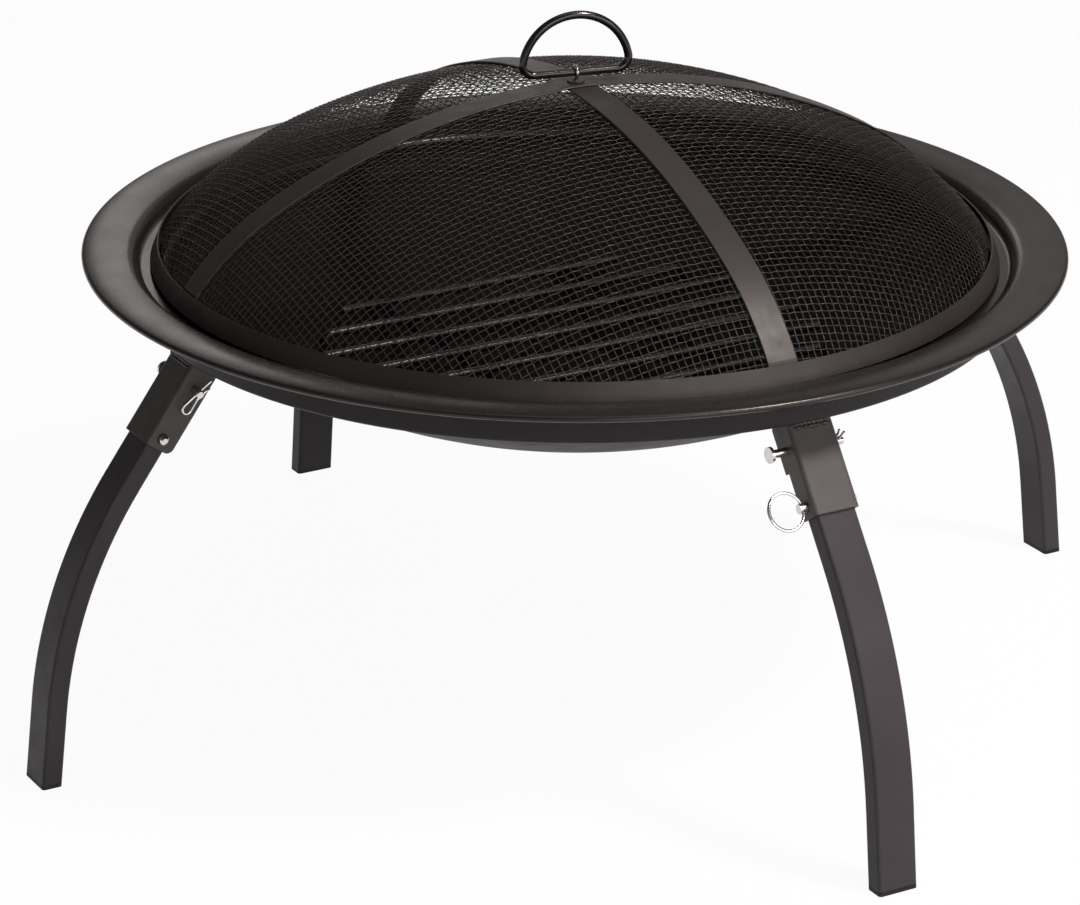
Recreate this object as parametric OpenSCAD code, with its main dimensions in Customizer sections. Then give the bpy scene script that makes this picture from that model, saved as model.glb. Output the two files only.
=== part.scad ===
// Folding fire pit: a pressed steel bowl in a tube ring, four folding legs with lock pins,
// a domed spark screen with a bail handle, and a loose log grate.
// Millimetres, +Z up, origin on the ground under the middle of the bowl, legs on the X and Y axes.

/* [Bowl] */
// Diameter over the rolled edge of the rim
rim_d = 660; // [600:5:720]
// Height of the step in the rim that the spark screen stands on
ledge_z = 297.5; // [270:0.5:330]
// Rise from that step to the crest of the rim
crest_rise = 11; // [10:0.5:16]
// Width of the flange from its crest to its edge
flange_w = 20; // [14:0.5:24]
// Fall of the flange from its crest to its edge
flange_fall = 4.2; // [3:0.1:6]
// Radius of the roll from the crest down to the step
roll_r = 10; // [7:0.5:12]
// Radius of the bead along the edge of the rim
bead_r = 2; // [1.8:0.1:2.6]
// Radius of the bend at the outer edge of the step
step_bend = 4; // [3:0.5:5]
// Thickness of the bowl sheet
bowl_sheet = 1.5; // [1:0.1:2]
// Depth of the bowl below the step, to the outside of its bottom
bowl_depth = 109.5; // [95:0.5:112]
// Outside radius of the dished bottom
dish_r = 450; // [430:5:520]
// Radius of the knuckle between the dished bottom and the wall
knuckle_r = 22; // [15:1:30]

/* [Support ring] */
// Radial width of the ring tube
ring_tube_w = 20; // [16:0.5:24]
// Height of the ring tube
ring_tube_h = 19; // [14:0.5:24]
// Wall of the ring tube
ring_tube_wall = 1.6; // [1:0.1:2.5]
// Gap between the bowl wall and the ring tube
bowl_ring_gap = 2; // [1:0.5:5]
// Reach of the ring tube beyond the inner edge of the step's bend
ring_step = 3; // [2:0.1:4]
// Corner radius of the ring tube
ring_corner = 2.2; // [1.8:0.1:3]

/* [Legs] */
// Width of the leg tube
leg_w = 28.4; // [25:0.2:32]
// Depth of the leg tube
leg_t = 14; // [13:0.5:16]
// Wall of the leg tube
leg_wall = 1.4; // [1.2:0.1:1.8]
// Corner radius of the leg tube
leg_corner = 2.2; // [1.9:0.1:3]
// Tilt of the straight top of the leg from upright
top_tilt = 36; // [33:0.5:40]
// Tilt of the straight foot of the leg from upright
foot_tilt = 6.5; // [3:0.5:10]
// Radius of the bend along the outer face of the leg
bend_r = 318; // [290:1:345]
// Length of the straight top below the pivot
top_run = 75; // [65:1:85]
// Distance of the pivot from the outer face of the leg
pivot_in = 9; // [8:0.5:9.5]
// Distance of the pivot below the support ring
pivot_drop = 17.8; // [14:0.2:22]
// Distance of the pivot inside the outer face of the support ring
pivot_inset = 3.6; // [2:0.1:6]
// Height of the sole of the foot plug
plug_sole = 3; // [2:0.5:4]
// Depth of the foot plug in the tube
plug_depth = 15; // [8:1:20]

/* [Brackets] */
// Thickness of the bracket sheet
bracket_sheet = 1.8; // [1.4:0.1:2.4]
// Outside radius of the bracket bends
bracket_bend = 3; // [2.6:0.1:3.6]
// Gap between the leg and each side wall
side_gap = 0.35; // [0.3:0.05:0.6]
// Gap between the leg and the outer plate
plate_gap = 0.5; // [0.4:0.1:0.8]
// Reach of the bracket below the pivot
bracket_reach = 45; // [43:0.5:50]
// Depth of the side walls inside the pivot
wall_in = 9; // [7:0.2:12]
// Length below the pivot over which the wall on the pin heads' side keeps that depth
wall_step = 13; // [8:0.5:20]
// Radius of the lower inner corner of the wall on the clips' side
wall_corner = 5; // [3:0.5:6]

/* [Pins] */
// Diameter of the pivot pin
pivot_d = 5.5; // [5:0.1:6]
// Diameter of the pivot pin's head
pivot_head_d = 10.5; // [9:0.5:13]
// Thickness of the pivot pin's head
pivot_head_h = 2; // [1.5:0.1:3]
// Length of the pivot pin between its head and the bracket
head_standoff = 11; // [8:0.5:14]
// Length of the pivot pin beyond the bracket on the clip's side
tail_length = 9; // [8:0.5:12]
// Distance of the clip from the end of the pivot pin
clip_inset = 3.9; // [3:0.1:4.5]
// Diameter of the clip wire
clip_wire = 1.5; // [1.3:0.1:1.7]
// Diameter of the lock pin
lock_d = 6.4; // [5.5:0.1:6.8]
// Distance of the lock pin below the pivot
lock_drop = 37.5; // [35:0.5:39]
// Distance of the lock pin outside the pivot
lock_out = 2; // [1:0.1:2.6]
// Length of the lock pin beyond the bracket
lock_tip = 4.2; // [3:0.1:8]
// Length of the lock pin's end that holds the pull ring
knob_h = 5.2; // [4.8:0.1:8]
// Outside diameter of the pull ring
pull_ring_d = 26.4; // [22:0.2:30]
// Wire diameter of the pull ring
pull_wire = 2; // [1.8:0.1:2.4]
// Angle that the pull rings of the first three legs hang inwards
ring_hang = 80; // [0:5:80]

/* [Spark screen] */
// Turn of the screen on the bowl
screen_turn = -4; // [-45:1:45]
// Height of the crown of the mesh above the step of the rim
screen_h = 118.5; // [112:0.5:130]
// Radius of the crown of the mesh
crown_r = 457; // [430:1:480]
// Half angle of the crown before it turns into the shoulder
crown_angle = 28.75; // [27:0.25:30]
// Thickness of the mesh
mesh_t = 1.2; // [0.8:0.1:1.4]
// Clearance between the screen's ring and the bend of the step, measured on the radius
screen_play = 7.4; // [5:0.1:9]
// Number of openings across the mesh, far fewer than the wires of the real weave
mesh_cells = 12; // [8:2:14]
// Width of the bars between the openings of the mesh
mesh_bar = 4; // [3:0.5:6]
// Width of the closed edge of the mesh above the ring
mesh_edge = 6; // [4:0.5:12]
// Slope of the screen's ring from upright
hoop_tilt = 21.8; // [15:0.1:26]
// Height of the screen's ring along its slope
hoop_h = 13.2; // [11:0.1:18]
// Thickness of the ring sheet
hoop_sheet = 1; // [0.8:0.1:1.4]
// Width of the straps
strap_w = 26; // [20:1:32]
// Thickness of the straps
strap_t = 1.2; // [0.8:0.1:1.6]
// Depth of the strap ends in the ring
strap_tuck = 5; // [3:0.5:7]

/* [Handle] */
// Turn of the handle on the screen
handle_turn = -8.75; // [-30:0.25:30]
// Diameter of the handle rod
rod_d = 5.5; // [5:0.1:6.5]
// Half length of the straight bar of the handle
bar_half = 28.6; // [24:0.2:34]
// Radius of the lower corners of the handle
handle_corner = 8; // [6:0.5:10]
// Turn of each lower corner
corner_turn = 102; // [98:1:110]
// Wire diameter of the eye that holds the handle
eye_wire = 2.4; // [2.2:0.1:3.2]
// Diameter of the shank of the eye
shank_d = 4; // [3.4:0.1:4.6]
// Diameter of the washers on the shank
washer_d = 12; // [10:0.5:16]
// Thickness of the washers on the shank
washer_h = 1; // [0.8:0.1:1.5]
// Width of the nut under the screen across its flats
nut_af = 7; // [6.5:0.5:10]
// Height of the nut
nut_h = 3.2; // [2.5:0.1:4]

/* [Log grate] */
// Radius of the circle that the ends of the rods lie on
grate_r = 170; // [160:1:180]
// Height of the rods above the bottom of the bowl
grate_h = 47; // [44:0.5:55]
// Diameter of the grate wire
grate_wire = 6; // [5:0.5:8]
// Pitch of the rods
rod_pitch = 37; // [30:1:42]
// Number of rods
rod_count = 8; // [8:2:8]
// Radius of the bends at the feet of the grate
foot_bend = 6; // [5:0.5:8]
// Distance of each cross bar from the middle
cross_x = 75; // [60:1:90]

/* [Clearances] */
// Running clearance on the radius of a pivot
pivot_clear = 0.05; // [0.02:0.01:0.1]
// Clearance on the radius around a lock pin
lock_clear = 0.4; // [0.3:0.05:0.6]
// Gap between pieces that rest on each other and lift apart
rest_gap = 0.3; // [0.2:0.05:0.5]
// Gap between pieces that are pressed together
seat_gap = 0.05; // [0.02:0.01:0.1]

/* [Hidden] */
$fn = 64;

wire_swell = 0.05;
wire_lap = 0.25;
tube_swell = 0.04;
tube_lap = 0.4;
sheet_swell = 0.01;
sheet_lap = 0.1;
bead_swell = 0.05;

satin_black = "#2c2a2b";
warm_black = "#3a3533";
gloss_black = "#191919";
zinc = "#c9cacc";

// Bowl: the flange is an arc from its crest to the bead along the edge.
rim_r = rim_d / 2;
edge_r = rim_r - bead_swell;
crest_z = ledge_z + crest_rise;
flange_r = (flange_w * flange_w + flange_fall * flange_fall) / (2 * flange_fall);
flange_angle = asin(flange_w / flange_r);
crest_r = edge_r - bead_r * (1 - sin(flange_angle)) - flange_w;
riser_angle = 45;
roll_end = [crest_r - roll_r * sin(riser_angle), crest_z - roll_r * (1 - cos(riser_angle))];
riser_foot_z = ledge_z + step_bend * (1 - cos(riser_angle));
riser_foot_r = roll_end[0] - (roll_end[1] - riser_foot_z) / tan(riser_angle);
step_r = riser_foot_r - step_bend * sin(riser_angle);
bowl_bottom_z = ledge_z - bowl_depth;

// Support ring: a rolled tube under the step, its outer face below the bend of the step.
ring_out = step_r + ring_step;
ring_in = ring_out - ring_tube_w;
ring_top = ledge_z - bowl_sheet - seat_gap;
ring_bottom = ring_top - ring_tube_h;
wall_r = ring_in - bowl_ring_gap;
ledge_bend = 3;
dish_z = bowl_bottom_z + dish_r;
knuckle_z = dish_z - sqrt(pow(dish_r - knuckle_r, 2) - pow(wall_r - knuckle_r, 2));
knuckle_angle = atan2(wall_r - knuckle_r, dish_z - knuckle_z);

// Leg: straight top, bend and straight foot, worked down from the pivot along the outer face.
pivot = [ring_out - pivot_inset, ring_bottom - pivot_drop];
top_out = [cos(top_tilt), sin(top_tilt)];
top_up = [-sin(top_tilt), cos(top_tilt)];
bend_top = pivot + pivot_in * top_out - top_run * top_up;
bend_centre = bend_top - bend_r * top_out;
bend_foot = bend_centre + bend_r * [cos(foot_tilt), sin(foot_tilt)];
foot_run = bend_foot[1] / cos(foot_tilt);
foot_spare = 12;

// Bracket: outer plate and side walls around the leg's straight top.
plate_in = pivot_in + plate_gap;
plate_out = plate_in + bracket_sheet;
bracket_half = leg_w / 2 + side_gap + bracket_sheet;
leg_inner = leg_t - pivot_in;
bracket_top = 60;

// Pins: the heads are on the -Y side of each leg, the clips and tips on the +Y side.
lock_reach = norm([lock_out, lock_drop]);
lock_hole_r = lock_d / 2 + lock_clear;
lock_slot_angle = 24;
lock_turn = atan2(lock_out, lock_drop);
clip_y = bracket_half + tail_length - clip_inset;
clip_hole_r = clip_wire / 2 + 0.15;
clip_droop = [35, 35, 35, 130];
ring_hole_y = -bracket_half - pull_wire / 2 - 1.25;
pull_r = (pull_ring_d - pull_wire) / 2;
pull_sag = pow(lock_d / 2, 2) / (2 * pull_r);
pull_hole_r = pull_wire / 2 + pull_sag / 2 + 0.45;

// Clip wire: a straight leg through the pin, a loop, and a waved leg that hugs the pin.
clip_hug = pivot_d / 2 + clip_wire / 2 + 0.15;
clip_waist = 3;
clip_back = 200;
clip_climb = 155;
clip_run = 8;
clip_tail = 11;
hug_start = clip_hug * [sin(clip_climb), -cos(clip_climb)];
waist_centre = hug_start - clip_waist * [-sin(clip_climb), cos(clip_climb)];
waist_start = waist_centre + clip_waist * [-sin(clip_back), cos(clip_back)];
loop_end = waist_start - clip_run * [cos(clip_back), sin(clip_back)];
clip_loop = loop_end[1] / (1 - cos(clip_back));
clip_far = loop_end[0] - clip_loop * sin(clip_back);

// Spark screen: crown and shoulder arcs, then a skirt that stands in the folded ring.
hoop_down = [sin(hoop_tilt), -cos(hoop_tilt)];
hoop_normal = [cos(hoop_tilt), sin(hoop_tilt)];
hoop_start = 1.5;
strap_room = 2 * strap_t + 5 * seat_gap;
hoop_face = strap_room + hoop_sheet;
hoop_back = mesh_t + 3 * seat_gap + hoop_sheet;
hoop_bottom = hoop_start + hoop_h;
skirt_top_r = step_r - screen_play - hoop_bottom * hoop_down[0] - hoop_face * hoop_normal[0];
skirt_top_z = ledge_z + rest_gap - hoop_bottom * hoop_down[1] + hoop_back * hoop_normal[1];
skirt_top = [skirt_top_r, skirt_top_z];
crown_z = ledge_z + screen_h;
crown_dir = [sin(crown_angle), cos(crown_angle)];
crown_end = [0, crown_z - crown_r] + crown_r * crown_dir;
shoulder_chord = skirt_top - crown_end;
shoulder_r = -(shoulder_chord * shoulder_chord) / (2 * (shoulder_chord * crown_dir));
shoulder_centre = crown_end - shoulder_r * crown_dir;
shoulder_angle = atan2(skirt_top[0] - shoulder_centre[0], skirt_top[1] - shoulder_centre[1]);
skirt_h = hoop_bottom - hoop_sheet - 2;
strap_lift = strap_t + seat_gap;

// Handle: the bar turns in the eye, whose shank holds the straps and the mesh together.
strap_top_z = crown_z + 2 * strap_lift;
eye_r = rod_d / 2 + pivot_clear;
bar_z = strap_top_z + seat_gap + washer_h + seat_gap + eye_wire + eye_r;
arch_r = (bar_half + handle_corner * sin(corner_turn)) / sin(corner_turn);
arch_z = handle_corner - handle_corner * cos(corner_turn) + arch_r * cos(corner_turn);
shank_hole_r = shank_d / 2 + 0.15;
nut_top_z = crown_z - mesh_t - seat_gap - washer_h - seat_gap;
shank_end_z = nut_top_z - nut_h - 1.2;

// Log grate: the last rods but one on each side bend down to the dished bottom.
rods_z = bowl_bottom_z + grate_h;
foot_edge_r = grate_r + grate_wire / 2;
foot_z = dish_z - sqrt(pow(dish_r - bowl_sheet, 2) - foot_edge_r * foot_edge_r) + rest_gap;
cross_z = rods_z - grate_wire - seat_gap;

// Sector of a flat ring between two angles, at most 170 degrees.
module ring_sector(inner, outer, from, to) {
    far = 2 * outer / cos((to - from) / 2);
    intersection() {
        difference() {
            circle(r = outer, $fn = 128);
            circle(r = inner, $fn = 128);
        }
        polygon([[0, 0], far * [cos(from), sin(from)], far * [cos(to), sin(to)]]);
    }
}

// Bend of a sheet, a hair thicker than the flats and wide arcs that lap into its ends.
module sheet_bend(inner, outer, from, to) {
    ring_sector(inner - sheet_swell, outer + sheet_swell, from, to);
}

function lap_angle(r) = sheet_lap / r * 180 / PI;

// Rectangle with round corners, centred.
module round_rect(w, h, r) {
    square([w - 2 * r, h], center = true);
    square([w, h - 2 * r], center = true);
    for (x = [-1, 1], y = [-1, 1])
        translate([x * (w / 2 - r), y * (h / 2 - r)]) circle(r = r);
}

// Section of a rectangular tube, centred.
module tube_section(w, h, wall, corner) {
    difference() {
        round_rect(w, h, corner);
        round_rect(w - 2 * wall, h - 2 * wall, corner - wall);
    }
}

// Bent wire from the origin along +X: each step is [length, 0] or [bend radius, turn to the left].
// Every second piece is the wire's swelling at a bend, and the pieces between reach into it.
module wire_run(steps, d, i = 0) {
    reach = i % 2 == 0 ? wire_lap : 0;
    across = i % 2 == 0 ? d : d + 2 * wire_swell;
    if (i < len(steps)) {
        size = steps[i][0];
        turn = steps[i][1];
        if (turn == 0) {
            translate([-reach, 0, 0]) rotate([0, 90, 0]) cylinder(d = across, h = size + 2 * reach);
            translate([size, 0, 0]) wire_run(steps, d, i + 1);
        } else {
            side = sign(turn);
            lap = reach / size * 180 / PI;
            translate([0, side * size, 0]) {
                rotate([0, 0, side > 0 ? -90 - lap : 90 + turn - lap])
                    rotate_extrude(angle = abs(turn) + 2 * lap) translate([size, 0]) circle(d = across);
                rotate([0, 0, turn]) translate([0, -side * size, 0]) wire_run(steps, d, i + 1);
            }
        }
    }
}

// Place of leg k, numbered counterclockwise from +X.
module at_leg(k) {
    rotate([0, 0, 90 * (k - 1)]) children();
}

// Frame of the straight top of a leg: X outwards through the plate, Z up along the leg.
module at_pivot() {
    translate([pivot[0], 0, pivot[1]]) rotate([0, -top_tilt, 0]) children();
}

// Rod along Y through a point of the frame in use, between two values of Y.
module along_y(x, z, from, to, r) {
    translate([x, from, z]) rotate([-90, 0, 0]) cylinder(r = r, h = to - from);
}

module fire_bowl() {
    color(satin_black) rotate_extrude($fn = 128) {
        translate([0, dish_z])
            ring_sector(dish_r - bowl_sheet, dish_r, -90, -90 + knuckle_angle + lap_angle(dish_r));
        translate([wall_r - knuckle_r, knuckle_z])
            sheet_bend(knuckle_r - bowl_sheet, knuckle_r, -90 + knuckle_angle, 0);
        translate([wall_r - bowl_sheet, knuckle_z - sheet_lap])
            square([bowl_sheet, ledge_z - bowl_sheet - ledge_bend - knuckle_z + 2 * sheet_lap]);
        translate([wall_r + ledge_bend, ledge_z - bowl_sheet - ledge_bend])
            sheet_bend(ledge_bend, ledge_bend + bowl_sheet, 90, 180);
        translate([wall_r + ledge_bend - sheet_lap, ledge_z - bowl_sheet])
            square([step_r - wall_r - ledge_bend + 2 * sheet_lap, bowl_sheet]);
        translate([step_r, ledge_z + step_bend])
            sheet_bend(step_bend, step_bend + bowl_sheet, -90, -90 + riser_angle);
        translate(roll_end) rotate(180 + riser_angle) translate([-sheet_lap, 0])
            square([norm(roll_end - [riser_foot_r, riser_foot_z]) + 2 * sheet_lap, bowl_sheet]);
        translate([crest_r, crest_z - roll_r])
            sheet_bend(roll_r - bowl_sheet, roll_r, 90, 90 + riser_angle);
        translate([crest_r, crest_z - flange_r])
            ring_sector(flange_r - bowl_sheet, flange_r, 90 - flange_angle, 90 + lap_angle(flange_r));
        translate([edge_r - bead_r, crest_z - flange_fall - bead_r * cos(flange_angle)]) circle(r = bead_r + bead_swell);
    }
}

module support_ring() {
    color(satin_black) rotate_extrude($fn = 128)
        translate([(ring_in + ring_out) / 2, (ring_top + ring_bottom) / 2])
            tube_section(ring_tube_w, ring_tube_h, ring_tube_wall, ring_corner);
}

module bracket_section() {
    corner_x = plate_out - bracket_bend;
    corner_y = bracket_half - bracket_bend;
    translate([plate_in, -corner_y]) square([bracket_sheet, 2 * corner_y]);
    translate([-wall_in, corner_y + bracket_bend - bracket_sheet])
        square([wall_in + corner_x, bracket_sheet]);
    translate([-wall_in, -bracket_half]) square([wall_in + corner_x, bracket_sheet]);
    translate([corner_x, corner_y]) ring_sector(bracket_bend - bracket_sheet, bracket_bend, 0, 90);
    translate([corner_x, -corner_y]) ring_sector(bracket_bend - bracket_sheet, bracket_bend, -90, 0);
}

module leg_bracket(k) {
    spare = 1;
    color(satin_black) at_leg(k) difference() {
        at_pivot() difference() {
            translate([0, 0, -bracket_reach]) linear_extrude(bracket_reach + bracket_top) bracket_section();
            along_y(0, 0, -bracket_half - spare, bracket_half + spare, pivot_d / 2 + pivot_clear);
            along_y(lock_out, -lock_drop, -bracket_half - spare, bracket_half + spare, lock_hole_r);
            translate([-wall_in - spare, -bracket_half - spare, -bracket_reach - spare])
                cube([wall_in - leg_inner + spare, bracket_half, bracket_reach - wall_step + spare]);
            translate([-wall_in, bracket_half + spare, -bracket_reach]) rotate([90, 0, 0])
                linear_extrude(bracket_half) difference() {
                    translate([-spare, -spare]) square(wall_corner + spare);
                    translate([wall_corner, wall_corner]) circle(r = wall_corner);
                }
        }
        translate([0, -bracket_half - spare, ring_bottom]) cube([rim_r, 2 * bracket_half + 2 * spare, rim_r]);
        translate([0, 0, ring_bottom - bracket_top]) cylinder(r = ring_in, h = bracket_top + spare, $fn = 128);
    }
}

module pivot_pin(k) {
    head_y = -bracket_half - head_standoff;
    tail_y = bracket_half + tail_length;
    chamfer = 0.8;
    color(zinc) at_leg(k) translate([pivot[0], 0, pivot[1]]) difference() {
        union() {
            along_y(0, 0, head_y - pivot_head_h, head_y, pivot_head_d / 2);
            along_y(0, 0, head_y, tail_y - chamfer, pivot_d / 2);
            translate([0, tail_y - chamfer, 0]) rotate([-90, 0, 0])
                cylinder(d1 = pivot_d, d2 = pivot_d - 2 * chamfer, h = chamfer);
        }
        translate([0, clip_y, 0]) rotate([0, clip_droop[k - 1] + 90, 0])
            cylinder(r = clip_hole_r, h = 2 * pivot_d, center = true);
    }
}

module retaining_clip(k) {
    flare = 5;
    color(zinc) at_leg(k) translate([pivot[0], clip_y, pivot[1]])
        rotate([0, clip_droop[k - 1], 0]) rotate([-90, 0, 0]) translate([-clip_tail, 0, 0])
            wire_run([
                [clip_tail + clip_far, 0],
                [clip_loop, clip_back],
                [clip_run, 0],
                [clip_waist, clip_climb - clip_back],
                [clip_hug, 2 * (180 - clip_climb)],
                [flare, clip_climb - clip_back],
                [2, 0]
            ], clip_wire);
}

module leg_section(swell = 0) {
    tube_section(leg_t + 2 * swell, leg_w + 2 * swell, leg_wall + 2 * swell, leg_corner + swell);
}

module foot_run_of(section_w, section_t, corner, from, to) {
    translate([bend_foot[0], 0, bend_foot[1]]) rotate([0, -foot_tilt, 0])
        translate([-leg_t / 2, 0, from]) linear_extrude(to - from) round_rect(section_t, section_w, corner);
}

// Slot from the seat of the lock pin out through the outer wall, on an arc about the pivot.
module lock_slot() {
    spare = 1;
    rotate([90, 0, 0]) linear_extrude(leg_w + 2 * spare, center = true) {
        ring_sector(lock_reach - lock_hole_r, lock_reach + lock_hole_r,
            -90 + lock_turn, -90 + lock_turn + lock_slot_angle);
        translate([lock_out, -lock_drop]) circle(r = lock_hole_r);
    }
}

module leg_tube(k) {
    ear_y = leg_w / 2 - leg_wall;
    overlap = 0.5;
    color(satin_black) at_leg(k) {
        difference() {
            translate([bend_foot[0], 0, bend_foot[1]]) rotate([0, -foot_tilt, 0])
                translate([-leg_t / 2, 0, -foot_run - foot_spare])
                    linear_extrude(foot_run + foot_spare + tube_lap) leg_section();
            translate([0, -leg_w, plug_sole - rim_r]) cube([2 * rim_r, 2 * leg_w, rim_r]);
        }
        translate([bend_centre[0], 0, bend_centre[1]]) rotate([90, 0, 0]) rotate([0, 0, foot_tilt])
            rotate_extrude(angle = top_tilt - foot_tilt, $fn = 128)
                translate([bend_r - leg_t / 2, 0]) leg_section(tube_swell);
        at_pivot() difference() {
            union() {
                translate([pivot_in - leg_t / 2, 0, -top_run - tube_lap])
                    linear_extrude(top_run + tube_lap) leg_section();
                for (y = [-ear_y - leg_wall, ear_y]) intersection() {
                    along_y(0, 0, y, y + leg_wall, pivot_in);
                    translate([-leg_inner, y, -overlap]) cube([leg_t, leg_wall, 2 * leg_t]);
                }
            }
            along_y(0, 0, -leg_w, leg_w, pivot_d / 2 + pivot_clear);
            lock_slot();
        }
    }
}

module foot_plug(k) {
    fit = leg_wall + 2 * seat_gap;
    color(gloss_black) at_leg(k) {
        intersection() {
            foot_run_of(leg_w, leg_t, leg_corner, -foot_run - foot_spare, 0);
            translate([0, -leg_w, 0]) cube([2 * rim_r, 2 * leg_w, plug_sole]);
        }
        intersection() {
            foot_run_of(leg_w - 2 * fit, leg_t - 2 * fit, leg_corner - leg_wall / 2, -foot_run - foot_spare, 0);
            translate([0, -leg_w, plug_sole]) cube([2 * rim_r, 2 * leg_w, plug_depth]);
        }
    }
}

module lock_pin(k) {
    tip_y = bracket_half + lock_tip;
    nose = 1.5;
    ball_r = 1.5;
    ball_out = 0.3;
    color(zinc) at_leg(k) at_pivot() translate([lock_out, 0, -lock_drop]) difference() {
        union() {
            along_y(0, 0, -bracket_half - knob_h, tip_y - nose, lock_d / 2);
            translate([0, tip_y - nose, 0]) rotate([-90, 0, 0])
                cylinder(d1 = lock_d, d2 = lock_d - 2 * nose, h = nose);
            translate([lock_d / 2 + ball_out - ball_r, tip_y - nose - ball_r, 0]) sphere(r = ball_r);
        }
        translate([0, ring_hole_y, 0]) cylinder(r = pull_hole_r, h = 2 * lock_d, center = true);
    }
}

module pull_ring(k) {
    hang = k < 4 ? ring_hang : 0;
    color(zinc) at_leg(k) at_pivot() translate([lock_out, ring_hole_y, -lock_drop]) rotate([0, 0, -hang])
        translate([0, pull_sag / 2 - pull_r, 0]) rotate([0, 90, 0])
            rotate_extrude($fn = 96) translate([pull_r, 0]) circle(d = pull_wire, $fn = 32);
}

// Sheet that follows the screen, from one offset to another outside the mesh, all round the axis.
module dome_shell(from, to, skirt) {
    thick = to - from + 2 * sheet_swell;
    rotate_extrude($fn = 128) {
        translate([0, crown_z - crown_r])
            ring_sector(crown_r + from, crown_r + to, 90 - crown_angle - lap_angle(crown_r), 90);
        translate(shoulder_centre)
            sheet_bend(shoulder_r + from, shoulder_r + to, 90 - shoulder_angle, 90 - crown_angle);
        translate(skirt_top) {
            rotate(hoop_tilt) translate([from - sheet_swell, -skirt]) square([thick, skirt]);
            if (from > 0)
                ring_sector(from, to, hoop_tilt - lap_angle(to), 90 - shoulder_angle + lap_angle(to));
        }
    }
}

module on_screen() {
    rotate([0, 0, screen_turn]) children();
}

module shank_hole() {
    translate([0, 0, crown_z]) cylinder(r = shank_hole_r, h = screen_h, center = true);
}

// Openings of the mesh in plan: a grid inside the ring, closed round the eye bolt.
module mesh_grid() {
    open_r = skirt_top_r - mesh_edge;
    pitch = 2 * open_r / mesh_cells;
    difference() {
        intersection() {
            for (i = [0:mesh_cells - 1], j = [0:mesh_cells - 1])
                translate([(i + 0.5) * pitch - open_r, (j + 0.5) * pitch - open_r])
                    square(pitch - mesh_bar, center = true);
            circle(r = open_r, $fn = 128);
        }
        circle(d = washer_d + 2 * mesh_bar);
    }
}

module screen_mesh() {
    color(warm_black) on_screen() difference() {
        dome_shell(-mesh_t, 0, skirt_h);
        translate([0, 0, ledge_z]) linear_extrude(2 * screen_h) mesh_grid();
        shank_hole();
    }
}

module screen_ring() {
    color(warm_black) on_screen() rotate_extrude($fn = 128) translate(skirt_top) rotate(hoop_tilt) {
        translate([strap_room, -hoop_bottom]) square([hoop_sheet, hoop_h]);
        translate([-hoop_back, -hoop_bottom]) square([hoop_sheet, 0.7 * hoop_h]);
        translate([-hoop_back, -hoop_bottom]) square([hoop_back + hoop_face, hoop_sheet]);
    }
}

// Band across the dome along X, from one offset to another outside the mesh.
module strap(from, to) {
    difference() {
        intersection() {
            dome_shell(from, to, strap_tuck);
            translate([-rim_r, -strap_w / 2, ledge_z]) cube([rim_d, strap_w, 2 * screen_h]);
        }
        shank_hole();
    }
}

module lower_strap() {
    color(warm_black) on_screen() rotate([0, 0, 90]) strap(seat_gap, seat_gap + strap_t);
}

// Lies on the mesh like the lower strap and steps up to cross over it.
module upper_strap() {
    top = seat_gap + strap_t;
    bridge = strap_w / 2 + strap_room;
    color(warm_black) on_screen() difference() {
        strap(seat_gap, top + strap_lift);
        difference() {
            dome_shell(top, top + 2 * strap_lift, 2 * strap_tuck);
            translate([-bridge - strap_t, -rim_r, ledge_z])
                cube([2 * (bridge + strap_t), rim_d, 2 * screen_h]);
        }
        intersection() {
            translate([0, 0, crown_z - crown_r]) sphere(r = crown_r + seat_gap + strap_lift, $fn = 128);
            translate([-bridge, -rim_r, ledge_z]) cube([2 * bridge, rim_d, 2 * screen_h]);
        }
    }
}

module on_handle() {
    rotate([0, 0, screen_turn + handle_turn]) translate([0, 0, bar_z]) children();
}

module shank_washer(z) {
    translate([0, 0, z]) difference() {
        cylinder(d = washer_d, h = washer_h);
        translate([0, 0, -1]) cylinder(r = shank_hole_r, h = washer_h + 2);
    }
}

module handle_eye() {
    shank_top = eye_r + eye_wire / 2;
    color(zinc) on_handle() {
        rotate([0, 90, 0]) rotate_extrude() translate([eye_r + eye_wire / 2, 0]) circle(d = eye_wire);
        translate([0, 0, shank_end_z - bar_z]) cylinder(d = shank_d, h = bar_z - shank_end_z - shank_top - 0.6);
    }
}

module eye_washer() {
    color(gloss_black) on_screen() shank_washer(strap_top_z + seat_gap);
}

module eye_nut() {
    color(zinc) on_screen() {
        shank_washer(nut_top_z + seat_gap);
        translate([0, 0, nut_top_z - nut_h]) difference() {
            cylinder(d = nut_af / cos(30), h = nut_h, $fn = 6);
            translate([0, 0, -1]) cylinder(d = shank_d + 0.1, h = nut_h + 2);
        }
    }
}

module lid_handle() {
    color(gloss_black) on_handle() rotate([90, 0, 0]) translate([-bar_half, 0, 0])
        wire_run([
            [2 * bar_half, 0],
            [handle_corner, corner_turn],
            [arch_r, 360 - 2 * corner_turn],
            [handle_corner, corner_turn]
        ], rod_d);
}

// Rod i across the grate, straight or with both ends bent down to the bowl.
module grate_rod(i) {
    y = (i - (rod_count - 1) / 2) * rod_pitch;
    half = sqrt(grate_r * grate_r - y * y);
    drop = rods_z - foot_z - foot_bend;
    if (i == 1 || i == rod_count - 2)
        translate([-half, y, foot_z]) rotate([90, 0, 0]) rotate([0, 0, 90]) wire_run([
            [drop, 0],
            [foot_bend, -90],
            [2 * half - 2 * foot_bend, 0],
            [foot_bend, -90],
            [drop, 0]
        ], grate_wire);
    else
        translate([-half, y, rods_z]) rotate([0, 90, 0]) cylinder(d = grate_wire, h = 2 * half);
}

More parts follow.
